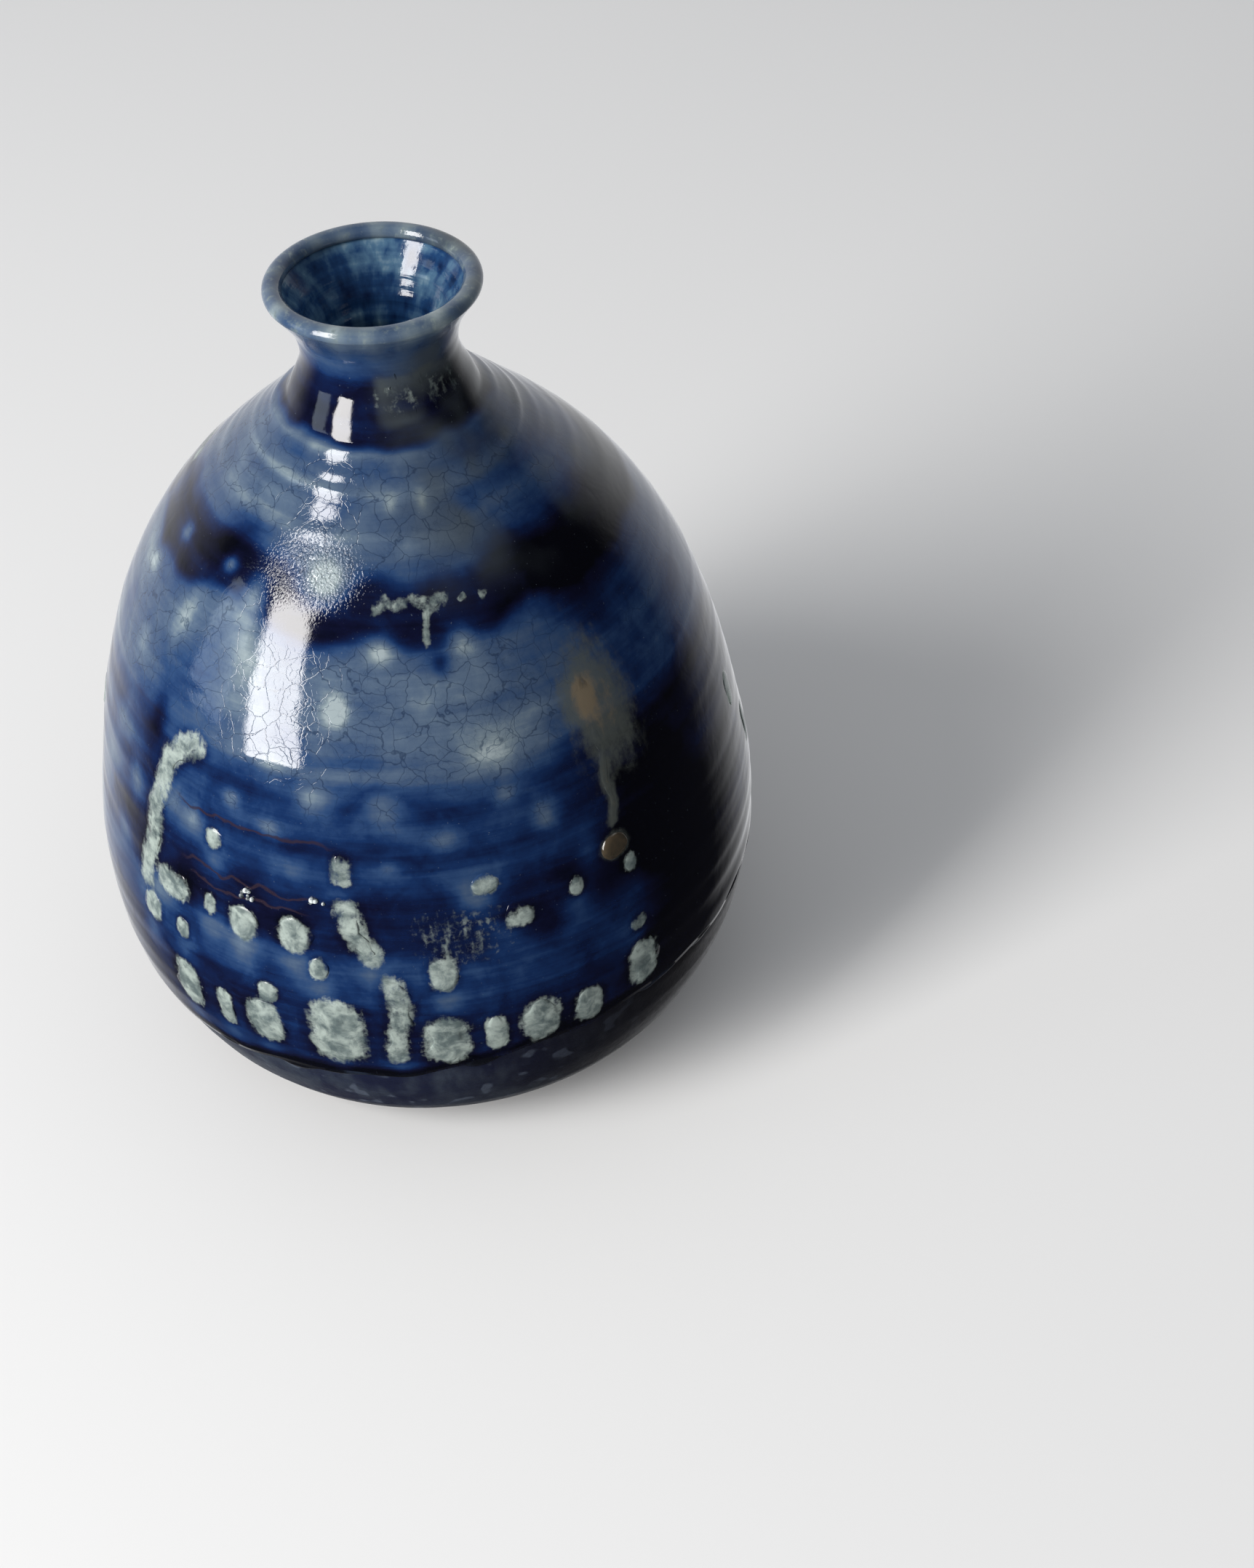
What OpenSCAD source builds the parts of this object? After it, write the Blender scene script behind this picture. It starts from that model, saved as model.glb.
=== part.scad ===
// Squat wheel-thrown sake bottle: stoneware, cobalt glaze, ash glaze dabs and an iron run.
// Units are millimetres, +Z is up, and the origin is the middle of the foot, on the table.
// A turn is an angle about the bottle's axis: 0 faces -Y and a positive turn goes towards +X.

/* [Overall size] */
// Height from the table to the top of the lip
total_h = 127; // [120:1:134]
// Radius of the glazed belly at its widest
belly_r = 52; // [49:0.5:55]

/* [Foot] */
// Outer radius of the foot ring
foot_r = 37; // [35:0.5:38]
// Width of the foot ring, measured along the table
foot_w = 6; // [4:0.5:8]
// Height of the foot ring
foot_h = 2.4; // [2:0.1:3]

/* [Neck and lip] */
// Height at which the neck is luted onto the shoulder
root_z = 109.6; // [108:0.2:111]
// Radius of the glazed neck at its narrowest
waist_r = 11.1; // [10.5:0.1:12]
// Outer radius of the glazed mouth
mouth_r = 14.8; // [14:0.1:16]
// Radius of the rounded, glazed lip
lip_r = 1.1; // [0.9:0.1:1.4]
// Radius of the clay throat at its narrowest
throat_r = 7.6; // [7:0.1:8]
// Thickness of the slip that lutes the neck on
slip_t = 0.4; // [0.2:0.1:0.6]

/* [Clay walls] */
// Thickness of the clay at the foot
wall_low = 4.8; // [4:0.1:5.5]
// Thickness of the clay at the shoulder
wall_high = 3.4; // [3:0.1:3.8]

/* [Glaze] */
// Thickness of the cobalt coat on the belly
coat_t = 0.9; // [0.6:0.1:1.1]
// Thickness of the cobalt coat on the neck
neck_coat_t = 0.6; // [0.4:0.1:0.7]
// Thickness of the thin wash under the dip line
wash_t = 0.35; // [0.2:0.05:0.45]
// Thickness of the poured lining
lining_t = 0.4; // [0.3:0.1:0.5]
// Height of the dip line on the bottle's axis, where the cobalt coat stops
dip_z = 23.5; // [20:0.5:26]
// Slope of the dip line, which rises towards +X
dip_tilt = 6; // [0:0.5:7]
// Radius of the roll of glaze that gathers along the dip line
roll_r = 0.9; // [0.7:0.1:1.1]
// How far an ash dab stands out of the coat
dab_rise = 0.35; // [0.2:0.05:0.6]

/* [Hidden] */
$fn = 96;
SPAN = 4;           // straight pieces between two stations of an outline
SINK = 0.5;         // how deep a dab or a run melts into the coat under it
CLAY = "#8a7460";
COBALT = "#22397a";
ASH = "#8b9a94";

// Curves: a smooth line through stations given as [radius, height]
function chord(p, i) = norm(p[i + 1] - p[i]);
function inner_slope(p, i) =
    let (a = chord(p, i - 1), b = chord(p, i))
    ((p[i] - p[i - 1]) / a * b + (p[i + 1] - p[i]) / b * a) / (a + b);
function slope(p, i) =
    i == 0 ? (p[1] - p[0]) / chord(p, 0) :
    i == len(p) - 1 ? (p[i] - p[i - 1]) / chord(p, i - 1) :
    inner_slope(p, i);
function blend(p, i, u) =
    let (c = chord(p, i))
    (2 * u ^ 3 - 3 * u ^ 2 + 1) * p[i] + (u ^ 3 - 2 * u ^ 2 + u) * c * slope(p, i)
    + (3 * u ^ 2 - 2 * u ^ 3) * p[i + 1] + (u ^ 3 - u ^ 2) * c * slope(p, i + 1);
function curve(p) = [for (i = [0 : len(p) - 2]) for (k = [0 : SPAN - 1]) blend(p, i, k / SPAN), p[len(p) - 1]];
function reversed(p) = [for (i = [len(p) - 1 : -1 : 0]) p[i]];
function arc(c, r, from, to, steps = 8) =
    [for (k = [0 : steps]) let (a = from + (to - from) * k / steps) c + r * [cos(a), sin(a)]];

// A line moved sideways, by d0 at its start and d1 at its end; a positive distance is outwards
function heading(p, i) = p[min(i + 1, len(p) - 1)] - p[max(i - 1, 0)];
function outward(p, i) = let (h = heading(p, i)) [h[1], -h[0]] / norm(h);
function moved(p, d0, d1) = [for (i = [0 : len(p) - 1]) p[i] + outward(p, i) * (d0 + (d1 - d0) * i / (len(p) - 1))];

// Outline of the glazed belly, from the turned edge above the foot to the root of the neck
kr = belly_r / 52;
kz = total_h / 127;
underside = [foot_r + 0.6, foot_h];
root = [13.8, root_z];
belly = curve([underside, [42.8 * kr, 4.2 * kz], [49.6 * kr, 15.5 * kz], [belly_r, 35 * kz], [49.5 * kr, 51 * kz],
               [46.2 * kr, 65 * kz], [41.2 * kr, 78.5 * kz], [33.7 * kr, 90.5 * kz], [18.7, 105.2], root]);
clay_outer = moved(belly, -coat_t, -neck_coat_t);
clay_inner = moved(clay_outer, -wall_low, -wall_high);
root_out = clay_outer[len(clay_outer) - 1];
root_in = [throat_r + 0.8, root_out[1]];

// Outline of the neck, up to the round of the lip
lip_c = [mouth_r - lip_r, total_h - lip_r];
LIP_FROM = -25;     // the lip's round starts at this angle outside
LIP_TO = 205;       // and ends at this angle inside
clay_lip_r = lip_r - neck_coat_t;
neck = curve([root, [waist_r, 116.2], [waist_r + 1, 121.4], lip_c + lip_r * [cos(LIP_FROM), sin(LIP_FROM)]]);
neck_clay = moved(neck, -neck_coat_t, -neck_coat_t);
lip_arc = arc(lip_c, clay_lip_r, LIP_FROM, LIP_TO);
lip_in = lip_arc[len(lip_arc) - 1];
throat = curve([root_in, [throat_r, 115], [throat_r + 1.9, 120.4], lip_in]);
throat_face = moved(throat, -lining_t, -lining_t);
floor_z = clay_inner[0][1];

// Where a place on the glaze is: its radius, and how far its surface leans back from upright
heights = [for (p = concat(belly, [for (k = [1 : len(neck) - 1]) neck[k]])) [p[1], p[0]]];
function radius_at(z) = lookup(z, heights);
function lean_at(z) = atan2(radius_at(z - 0.5) - radius_at(z + 0.5), 1);

// Ash dabs as [turn, height, half width, half height]
FRONT_DABS = [[-20, 32, 4.7, 6.4], [-33, 30.6, 3.3, 4.4], [-2, 30.6, 3.8, 4.7], [6, 31, 1.9, 3.7],
              [13.5, 31.4, 3.3, 4.2], [22, 30.8, 2.5, 3.3], [33, 33.4, 2.9, 4.2], [-49.5, 30.4, 3, 4.6],
              [-41, 30, 1.6, 3.9], [-51.5, 49.2, 3.4, 3.1], [-42.3, 49.6, 1.2, 1.8], [-35.5, 48.8, 2.6, 2.8],
              [-26, 49.3, 2.6, 2.9], [-22, 44.2, 1.5, 1.9], [-1.5, 43.8, 2.3, 2.8], [-49, 42, 1.5, 1.8],
              [-57, 41.6, 2.3, 2.5], [-31.5, 37.4, 1.8, 1.9], [-41.5, 61, 1.5, 1.7], [12, 51.4, 2.1, 2],
              [22.6, 53, 1.4, 1.4], [33.5, 52.4, 1.3, 1.6], [33, 41.6, 1.6, 1.4], [7, 57.8, 2, 1.8]];
// Round the back the dabs come in a belt of three rows, each a little bigger and lower than the one above
BACK_DABS = [for (row = [0 : 2]) for (k = [0 : 8 - row])
    [75 + 7 * row + 24 * k, 58 - 12 * row + 4 * sin(137 * k), 1.8 + 0.7 * row,
     2.6 + 0.6 * row + 0.5 * cos(97 * k)]];
DABS = concat(FRONT_DABS, BACK_DABS);

// Ash runs as [turn, low end, high end, width]
RUNS = [[-57, 46, 72, 3.6], [-17, 58.5, 63.5, 2.8], [-15, 47, 55, 3.6], [-9.7, 27.5, 42.5, 3.4],
        [115, 62, 76, 3.2], [183, 52, 70, 3], [228, 62, 78, 3.4]];
// Ash patches under the neck and on the shoulder as [first turn, last turn, low edge, high edge]
PATCHES = [[-4, 58, 112.4, 117], [-9, 20, 93.8, 95.2], [148, 166, 94, 96], [-122, -104, 94.5, 96.5]];
// The iron splash and the run below it, as patches
IRON = [[27, 38, 75, 83], [30.7, 33.3, 60, 75.5]];
BEADS = [[-34, 54, 0.8], [-21, 55.5, 0.7], [31, 56.4, 1.6]];

module spun(outline) {
    rotate_extrude() polygon(outline);
}

module side_of_dip_line(above) {
    translate([0, 0, dip_z]) rotate([0, -dip_tilt, 0])
        translate([0, 0, above ? 100 : -100]) cube([240, 240, 200], center = true);
}

// Puts its children on the glazed belly, standing along the surface's own normal
module on_belly(turn, height) {
    rotate([0, 0, turn]) translate([0, -radius_at(height), height]) rotate([90 - lean_at(height), 0, 0]) children();
}

// A low oval dome of half width w and half height h, melted into the coat
module dab(w, h) {
    translate([0, 0, dab_rise - SINK]) scale([w, h, SINK]) sphere(r = 1);
}

// A strip of glaze that follows the belly between two heights and two turns
module strip(from_turn, to_turn, low, high, rise) {
    rows = [for (k = [0 : 6]) let (z = low + (high - low) * k / 6) [radius_at(z), z]];
    rotate([0, 0, from_turn - 90]) rotate_extrude(angle = to_turn - from_turn)
        polygon(concat(moved(rows, rise, rise), reversed(moved(rows, -SINK, -SINK))));
}

module clay_body() {
    color(CLAY) spun(concat([[0, foot_h], [foot_r - 0.3, foot_h]], clay_outer, [root_in],
                            reversed(clay_inner), [[0, floor_z]]));
}

module foot_ring() {
    edge = 0.6;
    color(CLAY) spun([[foot_r - foot_w, foot_h], [foot_r - foot_w, edge], [foot_r - foot_w + edge, 0],
                      [foot_r - edge, 0], [foot_r, edge], [foot_r, foot_h]]);
}

module neck_slip_seam() {
    color(CLAY) spun([root_in, root_out, root_out + [0, slip_t], root_in + [0, slip_t]]);
}

module clay_neck() {
    above_seam = root_out[1] + slip_t;
    color(CLAY) intersection() {
        spun(concat([root_out], neck_clay, lip_arc, reversed(throat), [root_in]));
        translate([0, 0, above_seam]) cylinder(r = 2 * mouth_r, h = total_h);
    }
}

module cobalt_coat() {
    color(COBALT) intersection() {
        spun(concat(belly, reversed(clay_outer)));
        side_of_dip_line(true);
    }
}

module base_wash() {
    wash = moved(clay_outer, wash_t, wash_t);
    color("#5b6ba0") intersection() {
        spun(concat(wash, reversed(clay_outer)));
        side_of_dip_line(false);
    }
}

module neck_coat() {
    color(COBALT) spun(concat(neck, reversed(neck_clay)));
}

module lip_coat() {
    color("#7f9fc0") spun(concat(arc(lip_c, lip_r, LIP_FROM, LIP_TO), reversed(lip_arc)));
}

module lining_glaze() {
    cavity = moved(clay_inner, -lining_t, -lining_t);
    color("#1f3357") spun(concat([[0, floor_z]], clay_inner, throat, reversed(throat_face), reversed(cavity),
                                 [[0, cavity[0][1]]]));
}

module glaze_roll() {
    shift = (radius_at(dip_z + 5) - radius_at(dip_z - 5)) / 2;
    color("#141c3a") translate([shift, 0, dip_z]) rotate([0, -dip_tilt, 0])
        rotate_extrude() translate([radius_at(dip_z) - 0.3 * roll_r, 0]) circle(r = roll_r, $fn = 32);
}

module ash_dabs() {
    color(ASH) for (d = DABS) on_belly(d[0], d[1]) dab(d[2], d[3]);
}

module ash_runs() {
    color(ASH) for (r = RUNS) {
        half = r[3] / 2 / radius_at((r[1] + r[2]) / 2) * 180 / PI;
        strip(r[0] - half, r[0] + half, r[1], r[2], dab_rise / 2);
    }
}

module shoulder_ash() {
    color(ASH) for (p = PATCHES) strip(p[0], p[1], p[2], p[3], dab_rise / 2);
}

module iron_run() {
    color("#5a3d22") union() {
        for (p = IRON) strip(p[0], p[1], p[2], p[3], dab_rise / 2);
    }
}

module glaze_beads() {
    color("#9aa0a8") for (b = BEADS) on_belly(b[0], b[1]) sphere(r = b[2]);
}

clay_body();
foot_ring();
clay_neck();
neck_slip_seam();
cobalt_coat();
neck_coat();
lip_coat();
base_wash();
lining_glaze();
glaze_roll();
ash_dabs();
ash_runs();
shoulder_ash();
iron_run();
glaze_beads();
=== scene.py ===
import bpy
import bmesh
import math
import random
import numpy as np
from mathutils import Matrix, Vector, noise
from mathutils.bvhtree import BVHTree


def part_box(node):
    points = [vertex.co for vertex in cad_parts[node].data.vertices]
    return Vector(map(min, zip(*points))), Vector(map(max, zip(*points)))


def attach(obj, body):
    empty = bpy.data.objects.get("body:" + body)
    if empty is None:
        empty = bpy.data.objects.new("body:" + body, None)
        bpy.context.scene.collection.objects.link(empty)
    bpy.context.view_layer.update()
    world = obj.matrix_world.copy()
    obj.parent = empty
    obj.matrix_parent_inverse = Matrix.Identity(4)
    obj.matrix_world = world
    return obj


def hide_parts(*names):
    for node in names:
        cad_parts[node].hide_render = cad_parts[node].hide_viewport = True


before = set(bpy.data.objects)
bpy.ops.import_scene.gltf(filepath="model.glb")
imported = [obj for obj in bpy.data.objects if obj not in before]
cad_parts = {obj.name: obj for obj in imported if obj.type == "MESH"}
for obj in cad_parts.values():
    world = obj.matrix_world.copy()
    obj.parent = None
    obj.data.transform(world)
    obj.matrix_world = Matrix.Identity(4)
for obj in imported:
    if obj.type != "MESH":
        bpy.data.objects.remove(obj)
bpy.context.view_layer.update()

# ---- Table and studio ------------------------------------------------------------------------
# A plain pale table, a tall bright softbox to the left with a dimmer panel beside it, and a pale
# room behind. The camera looks down on the bottle from in front, through a 52 mm lens.

MM = 0.001


def clean_material(name):
    material = bpy.data.materials.new(name)
    material.use_nodes = True
    material.node_tree.nodes.clear()
    return material


class Wire:
    """One output socket of a shader graph. Python's operators on it add the Math nodes they need."""

    def __init__(self, graph, socket):
        self.graph, self.socket = graph, socket

    def maths(self, operation, *values):
        return self.graph.add("ShaderNodeMath", {"operation": operation}, dict(enumerate(values)))

    def __add__(self, other):
        return self.maths("ADD", self, other)

    def __radd__(self, other):
        return self.maths("ADD", other, self)

    def __sub__(self, other):
        return self.maths("SUBTRACT", self, other)

    def __rsub__(self, other):
        return self.maths("SUBTRACT", other, self)

    def __mul__(self, other):
        return self.maths("MULTIPLY", self, other)

    def __rmul__(self, other):
        return self.maths("MULTIPLY", other, self)

    def __abs__(self):
        return self.maths("ABSOLUTE", self)

    def step(self, low, high):
        """0 below low, 1 above high, and smooth between."""
        settings = {"interpolation_type": "SMOOTHSTEP", "clamp": True}
        return self.graph.add("ShaderNodeMapRange", settings, {0: self, 1: low, 2: high, 3: 0.0, 4: 1.0})


class Graph:
    """The shader nodes of one material or of the room's light."""

    def __init__(self, tree):
        self.tree = tree

    def add(self, kind, settings, sockets, out=0):
        node = self.tree.nodes.new(kind)
        for key, value in settings.items():
            if key == "stops":
                ramp = node.color_ramp.elements
                ramp.remove(ramp[1])
                ramp[0].position, ramp[0].color = value[0][0], (*value[0][1], 1.0)
                for place, colour in value[1:]:
                    ramp.new(place).color = (*colour, 1.0)
            else:
                setattr(node, key, value)
        for key, value in sockets.items():
            if isinstance(value, Wire):
                self.tree.links.new(value.socket, node.inputs[key])
            else:
                node.inputs[key].default_value = value
        return Wire(self, node.outputs[out]) if len(node.outputs) else None

    def mix(self, part, low, high):
        """A colour between low and high."""
        low, high = ((*c, 1.0) if isinstance(c, tuple) else c for c in (low, high))
        return self.add("ShaderNodeMix", {"data_type": "RGBA"}, {0: part, 6: low, 7: high}, out=2)

    def tint(self, part, low, high):
        """low multiplied by high, as far as part says."""
        settings = {"data_type": "RGBA", "blend_type": "MULTIPLY"}
        return self.add("ShaderNodeMix", settings, {0: part, 6: low, 7: (*high, 1.0)}, out=2)

    def place(self, scale=(1.0, 1.0, 1.0), shift=(0.0, 0.0, 0.0)):
        """Object coordinates in millimetres, stretched by scale."""
        here = self.add("ShaderNodeTexCoord", {}, {}, out=3)
        scale = tuple(s / MM for s in scale)
        return self.add("ShaderNodeMapping", {}, {"Vector": here, "Scale": scale, "Location": shift})

    def clouds(self, size, detail=3.0, rough=0.5, stretch=(1.0, 1.0, 1.0), shift=(0.0, 0.0, 0.0), warp=0.0):
        """Soft noise from 0 to 1 whose lumps are about size millimetres across."""
        sockets = {"Vector": self.place(stretch, shift), "Scale": 1.0 / size, "Detail": detail}
        sockets |= {"Roughness": rough, "Distortion": warp}
        return self.add("ShaderNodeTexNoise", {"noise_dimensions": "3D"}, sockets)

    def field(self, name):
        """A number that was stored on the mesh's points."""
        return self.add("ShaderNodeAttribute", {"attribute_name": name}, {}, out=2)

    def finish(self, sockets):
        """The surface's shader."""
        shader = self.add("ShaderNodeBsdfPrincipled", {}, sockets)
        self.add("ShaderNodeOutputMaterial", {}, {"Surface": shader})

    def bump(self, height):
        """A normal from a height in millimetres."""
        return self.add("ShaderNodeBump", {}, {"Strength": 1.0, "Distance": MM, "Height": height})


def softbox(name, azimuth, distance, low, high, width, lean, radiance, colour):
    """A light panel: azimuth 0 is in front and grows to the right, and lean tips its top to the left."""
    light = bpy.data.lights.new(name, "AREA")
    light.shape = "RECTANGLE"
    light.size, light.size_y = width, high - low
    light.energy = radiance * math.pi * width * (high - low)
    light.color = colour
    lamp = bpy.data.objects.new(name, light)
    bpy.context.scene.collection.objects.link(lamp)
    at = math.radians(azimuth)
    lamp.location = (math.sin(at) * distance, -math.cos(at) * distance, (low + high) / 2)
    aim = Vector((0.0, 0.0, lamp.location.z)) - lamp.location
    facing = aim.to_track_quat("-Z", "Y").to_matrix() @ Matrix.Rotation(math.radians(lean), 3, "Z")
    lamp.rotation_euler = facing.to_euler()


softbox("window_box", azimuth=-61, distance=0.95, low=0.07, high=1.28, width=0.34, lean=11.0,
        radiance=19.0, colour=(1.0, 0.98, 0.96))
softbox("side_panel", azimuth=-84, distance=1.0, low=0.05, high=0.60, width=0.30, lean=0.0,
        radiance=2.2, colour=(0.74, 0.87, 1.0))

TABLE_HALF = 14.0
table_mesh = bmesh.new()
bmesh.ops.create_grid(table_mesh, x_segments=1, y_segments=1, size=TABLE_HALF)
table_data = bpy.data.meshes.new("table_top")
table_mesh.to_mesh(table_data)
table_mesh.free()
table_top = bpy.data.objects.new("table_top", table_data)
bpy.context.scene.collection.objects.link(table_top)
paint = clean_material("pale_table")
graph = Graph(paint.node_tree)
graph.finish({"Base Color": (0.74, 0.74, 0.735, 1.0), "Roughness": 0.6, "Specular IOR Level": 0.2})
table_data.materials.append(paint)
table_top.visible_glossy = False

SOFT_LIGHT = (0.42, 0.43, 0.45)
DARK_FRONT, PALE_BACK = (0.025, 0.025, 0.030), (0.75, 0.76, 0.78)
BACKDROP = (0.75, 0.75, 0.75)
room = bpy.context.scene.world or bpy.data.worlds.new("room")
bpy.context.scene.world = room
room.use_nodes = True
room.node_tree.nodes.clear()
graph = Graph(room.node_tree)
way = graph.add("ShaderNodeTexCoord", {}, {}, out=0)
behind = graph.add("ShaderNodeSeparateXYZ", {}, {"Vector": way}, out=1).step(0.20, 0.75)
seen = graph.add("ShaderNodeLightPath", {}, {}, out=0)
mirrored = graph.add("ShaderNodeLightPath", {}, {}, out=3)
level = graph.mix(mirrored, SOFT_LIGHT, graph.mix(behind, DARK_FRONT, PALE_BACK))
level = graph.mix(seen, level, BACKDROP)
glow = graph.add("ShaderNodeBackground", {}, {"Color": level, "Strength": 1.0})
graph.add("ShaderNodeOutputWorld", {}, {"Surface": glow})

LENS, SENSOR = 51.68, 36.0
EYE_BACK, EYE_UP = 0.2665, 0.2827
LOOK_DOWN, LOOK_RIGHT, ROLL = 43.44, 6.82, -1.92
eye = bpy.data.cameras.new("eye")
camera = bpy.data.objects.new("camera", eye)
bpy.context.scene.collection.objects.link(camera)
eye.lens = LENS
eye.sensor_width = SENSOR
eye.clip_start = 0.01
camera.location = (0.0, -EYE_BACK, EYE_UP)
turned = Matrix.Rotation(math.radians(-LOOK_RIGHT), 4, "Z")
turned = turned @ Matrix.Rotation(math.radians(90 - LOOK_DOWN), 4, "X")
turned = turned @ Matrix.Rotation(math.radians(ROLL), 4, "Z")
camera.rotation_euler = turned.to_euler()
bpy.context.scene.camera = camera
bpy.context.scene.view_settings.view_transform = "Standard"

# ---- Clay: body, foot ring, neck and slip seam -----------------------------------------------
# Dark stoneware, thrown on the wheel and turned at the foot. The neck is luted on with slip. Only
# the foot ring and the recess under it stay bare after glazing.


def bare_clay(name, light, dark):
    material = clean_material(name)
    graph = Graph(material.node_tree)
    grain = graph.clouds(0.7, detail=6.0, rough=0.7)
    turning = graph.clouds(0.5, detail=2.0, stretch=(0.05, 0.05, 1.0))
    grog = graph.clouds(0.45, detail=0.0, shift=(40.0, 0.0, 0.0)).step(0.66, 0.72)
    colour = graph.mix(grain, dark, light)
    colour = graph.mix(grog * 0.7, colour, (0.38, 0.34, 0.28))
    surface = graph.bump(grain * 0.10 + turning * 0.12 + grog * 0.08)
    graph.finish({"Base Color": colour, "Roughness": 0.78 + grain * 0.15, "Normal": surface})
    return material


def recoat(node, material):
    """Gives a CAD node another material."""
    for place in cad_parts[node].material_slots:
        place.material = material


stoneware = bare_clay("bare_stoneware", (0.150, 0.098, 0.062), (0.060, 0.040, 0.028))
for clay_node in ("clay_body", "foot_ring", "clay_neck"):
    recoat(clay_node, stoneware)
recoat("neck_slip_seam", bare_clay("joining_slip", (0.20, 0.15, 0.11), (0.12, 0.09, 0.065)))

# ---- Wash below the dip line -----------------------------------------------------------------
# A thin, watery coat of the same glaze, brushed on before the bottle was dipped. It runs from the
# foot ring to just under the dipped coat, and it lies half a millimetre lower than that coat.

DIP_HEIGHT, DIP_SLOPE = 23.5, 6.0
DIP_RADIUS = 49.0
COAT_STEP = 0.55
FOOT_TOP = 2.4


def measured(node, heights, start, way):
    """Radius, in millimetres, at which a level ray meets a CAD node at each height; 0 where none does."""
    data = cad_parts[node].data
    tree = BVHTree.FromPolygons([v.co for v in data.vertices], [p.vertices for p in data.polygons])
    radii = []
    for height in heights:
        hit = tree.ray_cast(Vector((start * MM, 0.0, height * MM)), Vector((way, 0.0, 0.0)))[0]
        radii.append(abs(hit.x) / MM if hit else 0.0)
    return np.array(radii)


levels = np.arange(FOOT_TOP + 0.1, 125.5, 0.25)
edge = np.zeros(len(levels))
for skin_node in ("cobalt_coat", "neck_coat", "lip_coat", "base_wash"):
    found = measured(skin_node, levels, -90.0, 1.0)
    rise = COAT_STEP if skin_node == "base_wash" else 0.0
    edge = np.where((edge == 0.0) & (found > 0.0), found + rise, edge)
known = edge > 0.0
levels, edge = levels[known], edge[known]


def outside(height):
    """The coat's radius at a height, all in millimetres."""
    return np.interp(height, levels, edge)


def smooth(value, low, high):
    """0 at low and beyond, 1 at high and beyond, and smooth between."""
    part = np.clip((value - low) / (high - low), 0.0, 1.0)
    return part * part * (3.0 - 2.0 * part)


def away(turn, centre):
    """Degrees from one turn to another, the short way round."""
    return (turn - centre + 180.0) % 360.0 - 180.0


def dip_line(turn):
    """Height of the dip line: a tilted plane, wavy where the glaze ran."""
    at = np.radians(turn)
    plane = DIP_HEIGHT + DIP_RADIUS * math.tan(math.radians(DIP_SLOPE)) * np.sin(at)
    lifted = 1.5 * np.exp(-(away(turn, 15.0) / 16.0) ** 2)
    sagged = 1.0 * np.exp(-(away(turn, -60.0) / 18.0) ** 2)
    return plane + (lifted - sagged) + 0.35 * np.sin(11.0 * at + 0.6) + 0.25 * np.sin(23.0 * at + 2.0)


# Throwing ridges: height, how far each stands out, and its half width, in millimetres.
RIDGES = [
    (108.3, 0.34, 0.50), (106.5, 0.10, 0.60), (104.9, 0.30, 0.50), (103.0, 0.16, 0.60), (100.9, 0.18, 0.80),
    (98.4, 0.14, 0.80), (93.5, 0.08, 1.2), (75.3, 0.10, 0.50), (66.0, 0.08, 0.6), (62.5, 0.08, 0.5),
    (57.0, 0.07, 0.8), (51.0, 0.06, 0.8), (45.0, 0.06, 0.8), (117.5, 0.08, 0.5), (119.4, 0.08, 0.5)]


def swell(turn, height):
    """How far the fired surface stands off the true round, in millimetres."""
    at = np.radians(turn)
    off = -0.22 + 0.10 * np.sin(2.0 * at + 0.4) + 0.06 * np.sin(3.0 * at + height / 17.0)
    off = off - 0.40 * np.exp(-(away(turn, 72.0) / 40.0) ** 2 - ((height - 20.0) / 16.0) ** 2)
    off = off - 0.30 * np.exp(-(away(turn, 90.0) / 45.0) ** 2 - ((height - 103.0) / 8.0) ** 2)
    off = off + 0.018 * np.sin(height * 1.25 + 2.2 * np.sin(at + 1.0))
    off = off + 0.008 * np.sin(height * 2.9 + 3.0 * np.sin(at))
    for middle, tall, half in RIDGES:
        drift = 0.35 * np.sin(at * 2.0 + middle)
        along = 0.65 + 0.35 * np.cos(at + math.radians(70.0) + middle)
        off = off + tall * along * np.exp(-((height - middle - drift) / half) ** 2)
    lowest = -0.30 - 0.45 * smooth(height, 28.0, 38.0)
    return np.maximum(off, lowest) * (1.0 - smooth(height, 119.0, 123.5))


SECTORS = 20


def thrown(name, profile, turns):
    """A closed (radius, height) outline in millimetres, spun in turns steps round the bottle's axis."""
    shape = bmesh.new()
    points = [shape.verts.new((radius * MM, 0.0, height * MM)) for radius, height in profile]
    sides = [shape.edges.new(pair) for pair in zip(points, points[1:] + points[:1])]
    sector = math.tau / SECTORS
    bmesh.ops.spin(shape, geom=points + sides, cent=(0, 0, 0), axis=(0, 0, 1), dvec=(0, 0, 0),
                   angle=sector, steps=turns // SECTORS)
    first = shape.faces[:]
    for number in range(1, SECTORS):
        again = bmesh.ops.duplicate(shape, geom=first)["geom"]
        corners = [part for part in again if isinstance(part, bmesh.types.BMVert)]
        spun = Matrix.Rotation(sector * number, 3, "Z")
        bmesh.ops.rotate(shape, verts=corners, cent=(0, 0, 0), matrix=spun)
    bmesh.ops.remove_doubles(shape, verts=shape.verts, dist=MM * 0.002)
    bmesh.ops.recalc_face_normals(shape, faces=shape.faces)
    return settled(name, shape)


def settled(name, shape):
    """A smooth-shaded piece from a finished bmesh, which it frees."""
    mesh = bpy.data.meshes.new(name)
    shape.to_mesh(mesh)
    shape.free()
    mesh.shade_smooth()
    piece = bpy.data.objects.new(name, mesh)
    bpy.context.scene.collection.objects.link(piece)
    return piece


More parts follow.
